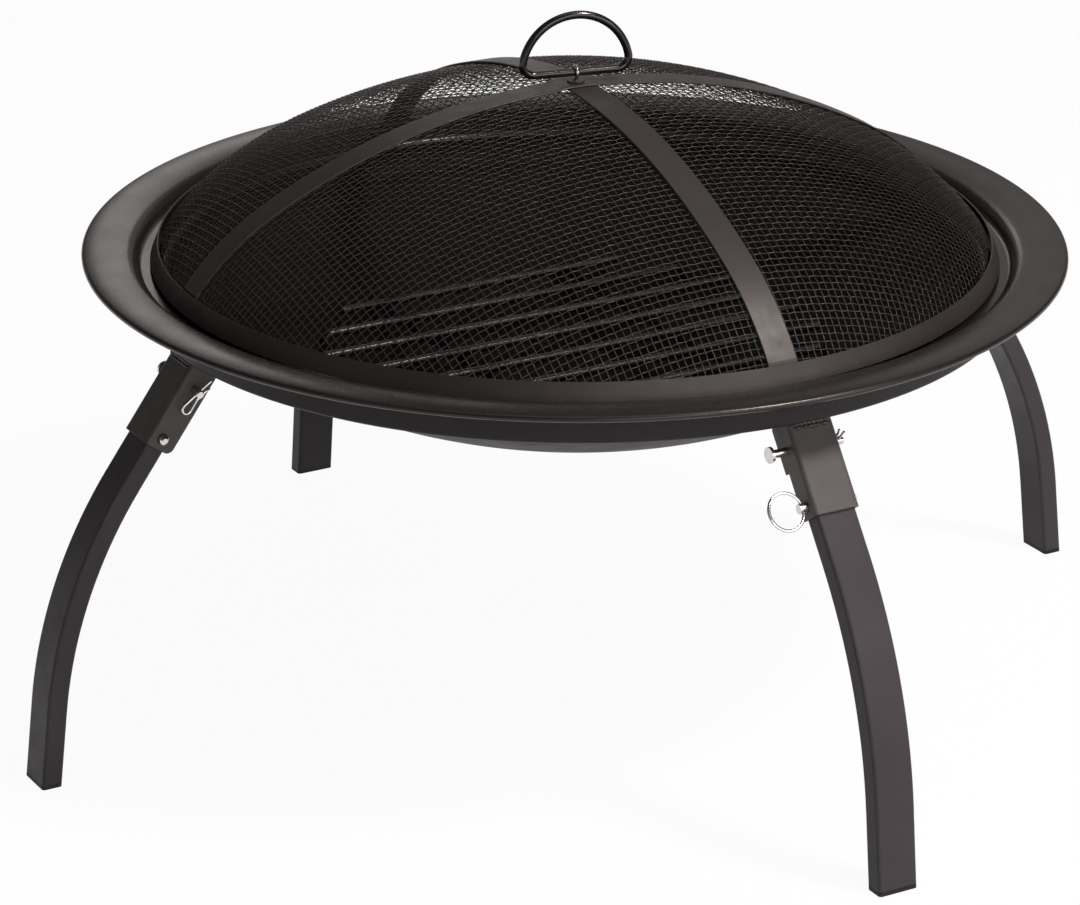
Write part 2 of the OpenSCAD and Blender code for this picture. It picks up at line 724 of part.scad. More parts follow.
module grate_rods() {
    color(satin_black) for (i = [0:rod_count - 1]) grate_rod(i);
}

module grate_cross_bars() {
    half = sqrt(grate_r * grate_r - cross_x * cross_x);
    color(satin_black) for (x = [-cross_x, cross_x]) along_y(x, cross_z, -half, half, grate_wire / 2);
}

fire_bowl();
support_ring();
leg_bracket(1);  // leg_bracket_1
leg_bracket(2);  // leg_bracket_2
leg_bracket(3);  // leg_bracket_3
leg_bracket(4);  // leg_bracket_4
pivot_pin(1);  // pivot_pin_1
pivot_pin(2);  // pivot_pin_2
pivot_pin(3);  // pivot_pin_3
pivot_pin(4);  // pivot_pin_4
retaining_clip(1);  // retaining_clip_1
retaining_clip(2);  // retaining_clip_2
retaining_clip(3);  // retaining_clip_3
retaining_clip(4);  // retaining_clip_4
leg_tube(1);  // leg_tube_1
leg_tube(2);  // leg_tube_2
leg_tube(3);  // leg_tube_3
leg_tube(4);  // leg_tube_4
foot_plug(1);  // foot_plug_1
foot_plug(2);  // foot_plug_2
foot_plug(3);  // foot_plug_3
foot_plug(4);  // foot_plug_4
lock_pin(1);  // lock_pin_1
lock_pin(2);  // lock_pin_2
lock_pin(3);  // lock_pin_3
lock_pin(4);  // lock_pin_4
pull_ring(1);  // pull_ring_1
pull_ring(2);  // pull_ring_2
pull_ring(3);  // pull_ring_3
pull_ring(4);  // pull_ring_4
screen_mesh();
screen_ring();
lower_strap();
upper_strap();
handle_eye();
eye_washer();
eye_nut();
lid_handle();
grate_cross_bars();
grate_rods();
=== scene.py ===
"""Folding fire pit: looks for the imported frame, at the photograph's viewing angle."""

import math

import bpy
import numpy as np
from mathutils import Matrix, Vector


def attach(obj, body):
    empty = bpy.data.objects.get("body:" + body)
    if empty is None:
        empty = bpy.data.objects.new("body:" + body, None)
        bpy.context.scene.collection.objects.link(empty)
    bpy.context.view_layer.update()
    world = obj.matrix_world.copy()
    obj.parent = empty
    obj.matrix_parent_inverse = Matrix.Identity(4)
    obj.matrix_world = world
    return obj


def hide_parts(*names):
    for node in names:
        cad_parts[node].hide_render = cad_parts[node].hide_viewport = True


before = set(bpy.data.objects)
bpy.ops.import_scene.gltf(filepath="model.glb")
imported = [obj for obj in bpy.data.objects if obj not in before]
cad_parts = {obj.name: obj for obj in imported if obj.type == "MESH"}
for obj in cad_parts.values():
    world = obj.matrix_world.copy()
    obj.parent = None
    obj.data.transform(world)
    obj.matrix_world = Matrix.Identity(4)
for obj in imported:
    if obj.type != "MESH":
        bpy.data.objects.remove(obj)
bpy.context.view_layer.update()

MM = 0.001
LEGS = (1, 2, 3, 4)

# Sizes of the frame that the added pieces follow, in millimetres; angles in radians.
PIVOT_R, PIVOT_Z = 291.356, 259.15
TOP_TILT = math.radians(36)
PLATE_OUT = 11.3
BRACKET_HALF = 16.35
LOCK_OUT, LOCK_UP = 2.0, -37.5
LOCK_PIN_R = 3.2
TUBE_OUT, TUBE_W, TUBE_H, TUBE_CORNER = 294.956, 20.0, 19.0, 2.2
TUBE_BOTTOM = 276.95
SCREEN_TURN = math.radians(-4)
CROWN_Z, CROWN_R, CROWN_ANGLE = 416.0, 457.0, math.radians(28.75)
SKIRT_TOP = (275.71, 312.32)
SKIRT_TILT = math.radians(21.8)


def leg_point(leg, r, t, z):
    """Points at radius r, sideways t and height z on a leg's own axes, in metres."""
    a = math.radians(90 * (leg - 1))
    x = r * math.cos(a) - t * math.sin(a)
    y = r * math.sin(a) + t * math.cos(a)
    return np.stack(np.broadcast_arrays(x, y, z), -1) * MM


def pivot_point(leg, u, t, w):
    """Points in the frame of a leg's straight top: u outwards, t sideways, w up along the leg, in metres."""
    r = PIVOT_R + u * math.cos(TOP_TILT) - w * math.sin(TOP_TILT)
    z = PIVOT_Z + u * math.sin(TOP_TILT) + w * math.cos(TOP_TILT)
    return leg_point(leg, r, t, z)


def about_z(points, angle):
    """Points turned about the Z axis."""
    c, s = math.cos(angle), math.sin(angle)
    return points @ np.array([[c, s, 0], [-s, c, 0], [0, 0, 1]])


def eased(share):
    """Share held between 0 and 1, with a soft start and end."""
    share = np.clip(share, 0, 1)
    return share * share * (3 - 2 * share)


# Materials

NOISE_LOW, NOISE_HIGH = 0.3, 0.7
NOISE_ROUGH = 0.55
TONE_DETAIL, GLOSS_DETAIL, BUMP_DETAIL = 4.0, 2.0, 3.0
GLOSS_FINER = 7.0
EDGE_SAMPLES = 6


def set_input(node, name, value):
    node.inputs[name].default_value = value


def join(tree, source, out, target, name):
    tree.links.new(source.outputs[out], target.inputs[name])


def noise(tree, scale, detail):
    """Noise on the object's own coordinates, which are in metres."""
    place = tree.nodes.new("ShaderNodeTexCoord")
    made = tree.nodes.new("ShaderNodeTexNoise")
    set_input(made, "Scale", scale)
    set_input(made, "Detail", detail)
    set_input(made, "Roughness", NOISE_ROUGH)
    join(tree, place, "Object", made, "Vector")
    return made


def tone_ramp(tree, source, dark, light):
    """Colour from dark to light over the noise's middle range."""
    made = tree.nodes.new("ShaderNodeValToRGB")
    first, last = made.color_ramp.elements
    first.position, last.position = NOISE_LOW, NOISE_HIGH
    first.color, last.color = (*dark, 1), (*light, 1)
    join(tree, source, "Fac", made, "Fac")
    return made


def spread(tree, source, low, high):
    """The noise's middle range mapped to low and high."""
    made = tree.nodes.new("ShaderNodeMapRange")
    set_input(made, "From Min", NOISE_LOW)
    set_input(made, "From Max", NOISE_HIGH)
    set_input(made, "To Min", low)
    set_input(made, "To Max", high)
    join(tree, source, "Fac", made, "Value")
    return made


def surface(name, dark, light, rough, patch, spec=0.5, metal=0.0, grain=900.0, grain_height=0.0,
            wave=60.0, wave_height=0.0, edge=0.0, tint=(1.0, 0.93, 0.91)):
    """Painted, plated or moulded surface: patches of tone, uneven gloss, waves, grain and rounded edges.

    Patch, wave and grain are noise scales; heights and the edge's radius are in metres.
    """
    made = bpy.data.materials.new(name)
    made.use_nodes = True
    tree = made.node_tree
    shader = tree.nodes["Principled BSDF"]
    tone = noise(tree, patch, TONE_DETAIL)
    join(tree, tone_ramp(tree, tone, dark, light), "Color", shader, "Base Color")
    gloss = noise(tree, patch * GLOSS_FINER, GLOSS_DETAIL)
    join(tree, spread(tree, gloss, *rough), "Result", shader, "Roughness")
    set_input(shader, "Metallic", metal)
    set_input(shader, "Specular IOR Level", spec)
    set_input(shader, "Specular Tint", (*tint, 1))
    last = None
    if edge > 0:
        last = tree.nodes.new("ShaderNodeBevel")
        last.samples = EDGE_SAMPLES
        set_input(last, "Radius", edge)
    for scale, height in ((wave, wave_height), (grain, grain_height)):
        if height > 0:
            bump = tree.nodes.new("ShaderNodeBump")
            set_input(bump, "Strength", 1.0)
            set_input(bump, "Distance", height)
            join(tree, noise(tree, scale, BUMP_DETAIL), "Fac", bump, "Height")
            if last:
                join(tree, last, "Normal", bump, "Normal")
            last = bump
    if last:
        join(tree, last, "Normal", shader, "Normal")
    return made


bowl_paint = surface(
    "bowl_paint", (0.0090, 0.0074, 0.0066), (0.0112, 0.0094, 0.0084), (0.25, 0.29), patch=5, spec=0.36,
    tint=(1.0, 0.88, 0.85))
# Inside of the bowl, and the grate's cross bars: darker than the bowl's paint, as painted shade under the
# dome.
hearth_painted_shade = surface(
    "hearth_painted_shade", (0.0022, 0.0020, 0.0020), (0.0045, 0.0040, 0.0038), (0.62, 0.78), patch=9, spec=0.10,
    grain=900, grain_height=0.00006)
# Underside of the bowl: paler than the bowl's paint, as painted light thrown up from the floor.
underside_painted_light = surface(
    "underside_painted_light", (0.016, 0.014, 0.013), (0.024, 0.021, 0.0195), (0.50, 0.62), patch=6, spec=0.16,
    grain=1200, grain_height=0.00004, wave=30, wave_height=0.00006)
ring_paint = surface(
    "ring_paint", (0.0145, 0.0122, 0.0142), (0.019, 0.0164, 0.0184), (0.36, 0.46), patch=12, spec=0.16,
    grain=1300, grain_height=0.00003, edge=0.0006, tint=(1.0, 0.93, 0.97))
leg_paint = surface(
    "leg_paint", (0.0330, 0.0285, 0.0315), (0.0430, 0.0380, 0.0410), (0.36, 0.46), patch=10, spec=0.12,
    grain=1200, grain_height=0.000035, wave=50, wave_height=0.00003, edge=0.0005, tint=(1.0, 0.93, 0.98))
bracket_paint = surface(
    "bracket_paint", (0.048, 0.0440, 0.0430), (0.062, 0.0570, 0.0555), (0.36, 0.48), patch=20, spec=0.26,
    grain=1100, grain_height=0.00004, wave=90, wave_height=0.00004, edge=0.0006)
strap_paint = surface(
    "strap_paint", (0.017, 0.0142, 0.0132), (0.024, 0.0205, 0.0190), (0.40, 0.50), patch=14, spec=0.36,
    grain=1300, grain_height=0.00003, edge=0.0004)
wire_paint = surface(
    "wire_paint", (0.014, 0.0120, 0.0116), (0.022, 0.0195, 0.0186), (0.34, 0.48), patch=30, spec=0.38,
    grain=2500, grain_height=0.00003)
gloss_black = surface(
    "gloss_black", (0.0040, 0.0038, 0.0038), (0.0065, 0.0062, 0.0062), (0.12, 0.19), patch=40,
    grain=900, grain_height=0.00001, wave=200, wave_height=0.00003)
smoked_steel = surface(
    "smoked_steel", (0.30, 0.29, 0.28), (0.46, 0.45, 0.44), (0.14, 0.24), patch=160, metal=1.0,
    grain=2000, grain_height=0.00002, edge=0.0003)
grate_black = surface(
    "grate_black", (0.0035, 0.0030, 0.0028), (0.0060, 0.0052, 0.0048), (0.20, 0.28), patch=60, spec=0.32,
    grain=1500, grain_height=0.00001)
zinc_plate = surface(
    "zinc_plate", (0.58, 0.57, 0.56), (0.74, 0.73, 0.72), (0.14, 0.28), patch=160, metal=1.0,
    grain=2600, grain_height=0.000012, edge=0.00025)
plug_black = surface(
    "plug_black", (0.006, 0.006, 0.006), (0.010, 0.010, 0.010), (0.50, 0.66), patch=60, spec=0.25,
    grain=1600, grain_height=0.00006, edge=0.0005)
weld_paint = surface(
    "weld_paint", (0.010, 0.009, 0.009), (0.020, 0.018, 0.017), (0.26, 0.40), patch=120, spec=0.45,
    grain=1400, grain_height=0.00012, wave=420, wave_height=0.0002)

FINISH = {
    "fire_bowl": bowl_paint,
    "support_ring": ring_paint,
    "leg_bracket": bracket_paint,
    "pivot_pin": zinc_plate,
    "retaining_clip": zinc_plate,
    "leg_tube": leg_paint,
    "foot_plug": plug_black,
    "lock_pin": zinc_plate,
    "pull_ring": zinc_plate,
    "screen_mesh": wire_paint,
    "screen_ring": strap_paint,
    "lower_strap": strap_paint,
    "upper_strap": strap_paint,
    "handle_eye": smoked_steel,
    "eye_washer": strap_paint,
    "eye_nut": zinc_plate,
    "lid_handle": gloss_black,
    "grate_rods": grate_black,
    # The cross bars take the darker inside paint, which is painted shade.
    "grate_cross_bars": hearth_painted_shade,
}
for name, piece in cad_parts.items():
    kind = name.rstrip("0123456789").rstrip("_")
    piece.data.materials.clear()
    piece.data.materials.append(FINISH[kind])


# Mesh tools

ASIDE = (0.31, 0.52, 0.79)


def grid_faces(rows, columns, loop_rows=False, loop_columns=True):
    """Quads between the points of a grid, whose rows or columns may close on themselves."""
    i = np.arange(rows if loop_rows else rows - 1)[:, None]
    j = np.arange(columns if loop_columns else columns - 1)[None]
    here, after = i * columns, (i + 1) % rows * columns
    side = (j + 1) % columns
    return np.stack([here + j, here + side, after + side, after + j], -1).reshape(-1, 4)


def sweep(lines, radii, sides, normals=None, flat=1.0):
    """Vertices and faces of wires along lines of points, in metres; flat widens them across the normals."""
    corners, faces, start = [], [], 0
    turn = (np.arange(sides) * 2 * np.pi / sides)[None, :, None]
    for k, line in enumerate(lines):
        count = len(line)
        along = np.gradient(line, axis=0)
        along /= np.linalg.norm(along, axis=1)[:, None]
        hint = np.tile(ASIDE, (count, 1)) if normals is None else normals[k]
        across = np.cross(along, hint)
        across /= np.linalg.norm(across, axis=1)[:, None]
        out = np.cross(across, along)
        r = np.broadcast_to(radii[k], (count,))[:, None, None]
        ring = line[:, None] + r * (np.cos(turn) * out[:, None] + flat * np.sin(turn) * across[:, None])
        corners.append(ring.reshape(-1, 3))
        faces.append(start + grid_faces(count, sides))
        start += count * sides
    return np.concatenate(corners), np.concatenate(faces)


def mesh_piece(name, corners, faces, material, body):
    """New smooth mesh piece that rides on a body."""
    data = bpy.data.meshes.new(name)
    data.vertices.add(len(corners))
    data.vertices.foreach_set("co", corners.astype(np.float32).ravel())
    data.loops.add(faces.size)
    data.loops.foreach_set("vertex_index", faces.astype(np.int32).ravel())
    data.polygons.add(len(faces))
    data.polygons.foreach_set("loop_start", np.arange(0, faces.size, faces.shape[1], dtype=np.int32))
    data.update(calc_edges=True)
    data.polygons.foreach_set("use_smooth", np.ones(len(faces), bool))
    data.materials.append(material)
    piece = bpy.data.objects.new(name, data)
    bpy.context.scene.collection.objects.link(piece)
    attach(piece, body)
    return piece


TURN_STEPS = 288


def arc(middle, r, start, end, count):
    """Points of an arc of a section, as radius and height; angles in radians from the outward direction."""
    a = np.linspace(start, end, count)
    return np.stack([middle[0] + r * np.cos(a), middle[1] + r * np.sin(a)], -1)


def turned(section, closed):
    """Vertices and faces of a section of radius and height in millimetres, turned about the Z axis."""
    angle = np.arange(TURN_STEPS) * 2 * np.pi / TURN_STEPS
    x = np.outer(np.cos(angle), section[:, 0])
    y = np.outer(np.sin(angle), section[:, 0])
    z = np.tile(section[:, 1], (TURN_STEPS, 1))
    corners = np.stack([x, y, z], -1).reshape(-1, 3) * MM
    return corners, grid_faces(TURN_STEPS, len(section), loop_rows=True, loop_columns=closed)


# Support ring: one smooth square tube; a narrow strip beside each rounded corner keeps its sides flat.

CORNER_STRIP = 0.4


def rolled_ring():
    half_w, half_h = TUBE_W / 2 - TUBE_CORNER, TUBE_H / 2 - TUBE_CORNER
    middle_r, middle_z = TUBE_OUT - TUBE_W / 2, TUBE_BOTTOM + TUBE_H / 2
    runs = []
    for quarter, (side, level) in enumerate(((1, 1), (-1, 1), (-1, -1), (1, -1))):
        start = quarter * math.pi / 2
        centre = (middle_r + side * half_w, middle_z + level * half_h)
        corner = arc(centre, TUBE_CORNER, start, start + math.pi / 2, count=9)
        before = np.array([math.sin(start), -math.cos(start)]) * CORNER_STRIP
        after = np.array([-math.cos(start), -math.sin(start)]) * CORNER_STRIP
        runs += [corner[:1] + before, corner, corner[-1:] + after]
    corners, faces = turned(np.concatenate(runs)[::-1], closed=True)
    made = mesh_piece("rolled_ring", corners, faces, ring_paint, "base")
    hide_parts("support_ring")


rolled_ring()


# Bowl: one smooth turned sheet over the section of its solid, with a wider, more level flange.

RIM_R, RIM_RISE = 329.95, 11.0
FLANGE_R, FLANGE_START, FLANGE_END = 78.0, math.radians(104), math.radians(83)
BEAD_R = 2.0
BEAD_CLEAR = 0.05
ROLL_R = 9.0
RISER = math.radians(68)
STEP_BEND, LEDGE_BEND = 4.0, 3.0
LEDGE_Z = 297.5
WALL_R, KNUCKLE_R = 272.9555, 22.0
SHEET = 1.5
DISH_R, BOWL_DEPTH = 450.0, 109.5
DISH_Z = LEDGE_Z - BOWL_DEPTH + DISH_R
DISH_START = 0.0005
# Paint of each part of the section: the rim's paint, a darker copy inside as painted shade, and a paler copy
# underneath as painted light from the floor.
SHEEN, INSIDE_SHADE, UNDERSIDE_LIGHT = 0, 1, 2


def bowl_section():
    """Points of the section from the middle over the rim and back underneath, with each point's paint index,
    where the inside's darker paint is painted shade and the underside's paler paint is painted light.
    """
    up, left = math.pi / 2, math.pi
    flange_mid = (RIM_R - BEAD_R * (1 - math.cos(FLANGE_END)) - FLANGE_R * math.cos(FLANGE_END),
                  LEDGE_Z + RIM_RISE - FLANGE_R * math.sin(FLANGE_END))
    roll_mid = (flange_mid[0] + (FLANGE_R - ROLL_R) * math.cos(FLANGE_START),
                flange_mid[1] + (FLANGE_R - ROLL_R) * math.sin(FLANGE_START))
    riser_top = (roll_mid[0] - ROLL_R * math.sin(RISER), roll_mid[1] + ROLL_R * math.cos(RISER))
    riser_drop = riser_top[1] - LEDGE_Z - STEP_BEND * (1 - math.cos(RISER))
    step_r = riser_top[0] - riser_drop / math.tan(RISER) - STEP_BEND * math.sin(RISER)
    step_mid = (step_r, LEDGE_Z + STEP_BEND)
    ledge_mid = (WALL_R + LEDGE_BEND, LEDGE_Z - SHEET - LEDGE_BEND)
    knuckle_r = WALL_R - KNUCKLE_R
    knuckle_z = DISH_Z - math.sqrt((DISH_R - KNUCKLE_R) ** 2 - knuckle_r ** 2)
    knuckle = math.atan2(knuckle_r, DISH_Z - knuckle_z)

    def side(depth):
        """The dish and wall, the ledge's bend, and the step up to the flange, at a depth in the sheet."""
        dish = [arc((0, DISH_Z), DISH_R - SHEET + depth, -up + DISH_START, -up + knuckle, count=34),
                arc((knuckle_r, knuckle_z), KNUCKLE_R - SHEET + depth, -up + knuckle, 0, count=14)]
        bend = arc(ledge_mid, LEDGE_BEND + SHEET - depth, left, up, count=9)
        flange = [arc(step_mid, STEP_BEND + depth, -up, RISER - up, count=10),
                  arc(roll_mid, ROLL_R - depth, up + RISER, FLANGE_START, count=12),
                  arc(flange_mid, FLANGE_R - depth, FLANGE_START, FLANGE_END, count=22)[1:]]
        return np.concatenate(dish), bend, np.concatenate(flange)

    dish, bend, flange = side(0)
    dish_under, bend_under, flange_under = side(SHEET)
    bead_mid = (RIM_R - BEAD_R, LEDGE_Z + RIM_RISE - BEAD_R * math.sin(FLANGE_END))
    back = math.acos((BEAD_R - SHEET) / BEAD_R) - 2 * math.pi
    bead = arc(bead_mid, BEAD_R, FLANGE_END, FLANGE_END + back, count=26)[1:]
    flange_under = flange_under[flange_under[:, 0] < bead[-1, 0] - BEAD_CLEAR]
    runs = [(dish, INSIDE_SHADE), (bend, SHEEN), (flange, SHEEN), (bead, SHEEN),
            (flange_under[::-1], SHEEN), (bend_under[::-1], UNDERSIDE_LIGHT), (dish_under[::-1], UNDERSIDE_LIGHT)]
    paint_and_painted_light = np.concatenate([np.full(len(points), number) for points, number in runs])
    return np.concatenate([points for points, number in runs]), paint_and_painted_light


def turned_bowl():
    section, paint_and_painted_light = bowl_section()
    corners, faces = turned(section, closed=False)
    made = mesh_piece("turned_bowl", corners, faces, bowl_paint, "base")
    # Darker paint inside as painted shade, paler paint underneath as painted light.
    made.data.materials.append(hearth_painted_shade)
    made.data.materials.append(underside_painted_light)
    made.data.polygons.foreach_set("material_index", np.tile(paint_and_painted_light[:-1], TURN_STEPS).astype(np.int32))
    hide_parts("fire_bowl")


turned_bowl()


# Dome of the spark screen: a crown and a tighter shoulder that meets the skirt.

crown_dir = np.array([math.sin(CROWN_ANGLE), math.cos(CROWN_ANGLE)])
crown_end = np.array([0, CROWN_Z - CROWN_R]) + CROWN_R * crown_dir
chord = np.array(SKIRT_TOP) - crown_end
SHOULDER_R = -(chord @ chord) / (2 * (chord @ crown_dir))
SHOULDER_MID = crown_end - SHOULDER_R * crown_dir
SHOULDER_ANGLE = math.atan2(SKIRT_TOP[0] - SHOULDER_MID[0], SKIRT_TOP[1] - SHOULDER_MID[1])
TINY = 1e-9


def dome_section(steep):
    """Radius and height of the dome's outer surface where it is this steep."""
    on_crown = steep < CROWN_ANGLE
    bend_r = np.where(on_crown, CROWN_R, SHOULDER_R)
    r = np.where(on_crown, 0, SHOULDER_MID[0]) + bend_r * np.sin(steep)
    z = np.where(on_crown, CROWN_Z - CROWN_R, SHOULDER_MID[1]) + bend_r * np.cos(steep)
    return r, z


# Woven mesh: two sets of wires laid along and across the straps.

WIRE_R, WIRE_SIDES = 0.35, 5
PITCH = 5.3
CRIMP_ALONG, CRIMP_ACROSS = 0.52, 0.18
SINK = 0.95
TUCK = 4.0
CROWN_ARC = CROWN_R * CROWN_ANGLE
CLOTH_R = CROWN_ARC + SHOULDER_R * (SHOULDER_ANGLE - CROWN_ANGLE) + TUCK


def on_dome(a, b, lift):
    """Points and normals of the dome where points a, b of the flat cloth come to lie, lifted off it."""
    s = np.hypot(a, b)
    steep = np.where(s < CROWN_ARC, s / CROWN_R, CROWN_ANGLE + (s - CROWN_ARC) / SHOULDER_R)
    r, z = dome_section(steep)
    share = np.where(s > TINY, 1 / np.maximum(s, TINY), 0)
    x, y = a * share, b * share
    up = np.stack([x * np.sin(steep), y * np.sin(steep), np.cos(steep)], -1)
    points = np.stack([x * r, y * r, z], -1) + (lift - SINK)[:, None] * up
    return about_z(points, SCREEN_TURN) * MM, about_z(up, SCREEN_TURN)


def woven_mesh():
    lines, normals = [], []
    reach = int(CLOTH_R / PITCH)
    for across, crimp, phase in ((False, CRIMP_ALONG, np.pi), (True, CRIMP_ACROSS, 0)):
        for n in range(-reach, reach + 1):
            half = math.sqrt(max(CLOTH_R ** 2 - (n * PITCH) ** 2, 0))
            steps = int(half / (PITCH / 2))
            if steps < 2:
                continue
            t = np.arange(-steps, steps + 1) * PITCH / 2
            fixed = np.full_like(t, n * PITCH)
            lift = crimp * np.cos(t / PITCH * np.pi + n * np.pi + phase)
            a, b = (fixed, t) if across else (t, fixed)
            points, up = on_dome(a, b, lift)
            lines.append(points)
            normals.append(up)
    corners, faces = sweep(lines, [WIRE_R * MM] * len(lines), WIRE_SIDES, normals)
    made = mesh_piece("woven_mesh", corners, faces, wire_paint, "screen")
    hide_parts("screen_mesh")


woven_mesh()


# Straps: thin bands with rounded edges that lie on the mesh, the upper one stepped over the lower one.

STRAP_W, STRAP_T = 21.5, 1.2
STRAP_EDGE, STRAP_INSET = 0.35, 0.9
STRAP_GAP = 0.05
STRAP_POINTS = 181
STRAP_TUCK = 5.0
STRAP_END = SKIRT_TOP[0] + STRAP_TUCK * math.sin(SKIRT_TILT)
JOG_REACH, JOG_RUN = 6.5, 4.0
FRONT_TURN = math.radians(91.8)


def dome_at(x, y):
    """Height and normal of the mesh's outer surface and of the skirt below it, at points of the plan."""
    r = np.hypot(x, y)
    on_skirt = r > SKIRT_TOP[0]
    sine = np.where(r < crown_end[0], r / CROWN_R, (r - SHOULDER_MID[0]) / SHOULDER_R)
    steep = np.where(on_skirt, math.pi / 2 - SKIRT_TILT, np.arcsin(np.clip(sine, -1, 1)))
    skirt_z = SKIRT_TOP[1] - (r - SKIRT_TOP[0]) / math.tan(SKIRT_TILT)
    z = np.where(on_skirt, skirt_z, dome_section(steep)[1])
    share = np.sin(steep) / np.maximum(r, TINY)
    return z, np.stack([x * share, y * share, np.cos(steep)], -1)


def strap_band(name, turn, jogs, node):
    half = STRAP_W / 2
    across = np.array([half - STRAP_INSET, half - STRAP_EDGE, half, half, half - STRAP_EDGE])
    height = np.array([STRAP_T, STRAP_T, STRAP_T - STRAP_EDGE, STRAP_EDGE, 0])
    across = np.concatenate([across, -across[::-1]])
    height = np.concatenate([height, height[::-1]])
    x = STRAP_END * np.sin(np.linspace(-math.pi / 2, math.pi / 2, STRAP_POINTS))
    rise = np.full_like(x, STRAP_GAP)
    if jogs:
        rise += eased((half + JOG_REACH - np.abs(x)) / JOG_RUN) * (STRAP_T + STRAP_GAP)
    plan_x, plan_y = np.meshgrid(x, across, indexing="ij")
    z, normal = dome_at(plan_x, plan_y)
    points = np.stack([plan_x, plan_y, z], -1) + (rise[:, None] + height[None])[..., None] * normal
    corners = about_z(points.reshape(-1, 3), turn) * MM
    faces = grid_faces(len(x), len(across))[:, [0, 3, 2, 1]]
    made = mesh_piece(name, corners, faces, strap_paint, "screen")
    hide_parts(node)


strap_band("front_band", SCREEN_TURN + FRONT_TURN, False, "lower_strap")
strap_band("side_band", SCREEN_TURN, True, "upper_strap")


# Split rings: two turns of flattened wire with a step where one turn passes to the other.

SPLIT_R, SPLIT_TURNS, SPLIT_POINTS = 12.2, 2.0, 160
SPLIT_START = 0.6
SPLIT_WIRE_R, SPLIT_FLAT, SPLIT_SIDES = 0.50, 1.9, 12
SPLIT_STEP_AT, SPLIT_STEP_RUN, SPLIT_STEP = 0.94, 0.12, 1.04
RING_HOLE_T = -18.6
RING_HANG = {1: math.radians(80), 2: math.radians(80), 3: math.radians(80), 4: 0.0}


def split_ring(leg):
    t = np.linspace(0, SPLIT_TURNS, SPLIT_POINTS)
    lift = (eased((t - SPLIT_STEP_AT) / SPLIT_STEP_RUN) - 0.5) * SPLIT_STEP
    angle = 2 * np.pi * t + SPLIT_START
    sag = LOCK_PIN_R ** 2 / (2 * SPLIT_R)
    away = SPLIT_R - sag / 2 + SPLIT_R * np.cos(angle)
    c, s = math.cos(RING_HANG[leg]), math.sin(RING_HANG[leg])
    line = pivot_point(leg, LOCK_OUT - s * away + c * lift, RING_HOLE_T - c * away - s * lift,
                       LOCK_UP + SPLIT_R * np.sin(angle))
    side = (pivot_point(leg, c, -s, 0) - pivot_point(leg, 0, 0, 0)) / MM
    hints = np.tile(side, (SPLIT_POINTS, 1))
    corners, faces = sweep([line], [SPLIT_WIRE_R * MM], SPLIT_SIDES, [hints], flat=SPLIT_FLAT)
    made = mesh_piece(f"split_ring_{leg}", corners, faces, zinc_plate, f"pull_{leg}")
    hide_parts(f"pull_ring_{leg}")


for leg in LEGS:
    split_ring(leg)


# Welds where each bracket meets the ring: a bead along its plate, a lower pass and one down each side.

WELD_SEED = 40
WELD_SIDES = 10
WELD_POINTS, SIDE_POINTS = 60, 24
WELD_INSET, WELD_STOP = 2.2, 1.6
TIP_SHARE = 0.25
SEAM_OUT, SEAM_DROP = 0.2, 0.5
SIDE_START, SIDE_END = 3.0, 12.0
SIDE_OUT, SIDE_DROP = 0.1, 0.2
PASS_SINK, PASS_DROP = 0.1, 2.9
SEAM = {"mean": 1.9, "swell": 0.3, "pace": 2.1, "rough": 0.12, "taper": 2.0}
SIDE = {"mean": 1.15, "swell": 0.25, "pace": 2.3, "rough": 0.1, "taper": 2.0}
PASS = {"mean": 1.25, "swell": 0.4, "pace": 1.3, "rough": 0.15, "taper": 4.0}


def weld_radii(rng, along, shift, room, mean, swell, pace, rough, taper):
    """Radii of a lumpy weld, in metres; it thins where the room to its end is under the taper."""
    lumps = mean + swell * np.sin(along * pace + shift) + rough * rng.standard_normal(len(along))
    return lumps * np.clip(room / taper, TIP_SHARE, 1) * MM


def weld_bead(leg):
    rng = np.random.default_rng(WELD_SEED + leg)
    top = (TUBE_BOTTOM - PIVOT_Z - PLATE_OUT * math.sin(TOP_TILT)) / math.cos(TOP_TILT)
    edge_r = PIVOT_R + PLATE_OUT * math.cos(TOP_TILT) - top * math.sin(TOP_TILT)
    t = np.linspace(-BRACKET_HALF + WELD_INSET, BRACKET_HALF - WELD_INSET, WELD_POINTS)
    room = BRACKET_HALF - WELD_STOP - np.abs(t)
    lines = [leg_point(leg, edge_r + SEAM_OUT, t, TUBE_BOTTOM - SEAM_DROP)]
    radii = [weld_radii(rng, t, leg, room, **SEAM)]
    r = np.linspace(edge_r - SIDE_START, edge_r - SIDE_END, SIDE_POINTS)
    side_room = np.minimum(r - r.min(), r.max() - r)
    for side in (-1, 1):
        lines.append(leg_point(leg, r, side * (BRACKET_HALF + SIDE_OUT), TUBE_BOTTOM - SIDE_DROP))
        radii.append(weld_radii(rng, r, side, side_room, **SIDE))
    lines.append(pivot_point(leg, PLATE_OUT - PASS_SINK, t, top - PASS_DROP))
    radii.append(weld_radii(rng, t, 2 * leg, room, **PASS))
    corners, faces = sweep(lines, radii, WELD_SIDES)
    mesh_piece(f"weld_bead_{leg}", corners, faces, weld_paint, "base")


for leg in LEGS:
    weld_bead(leg)


# Floor, light and camera, in metres

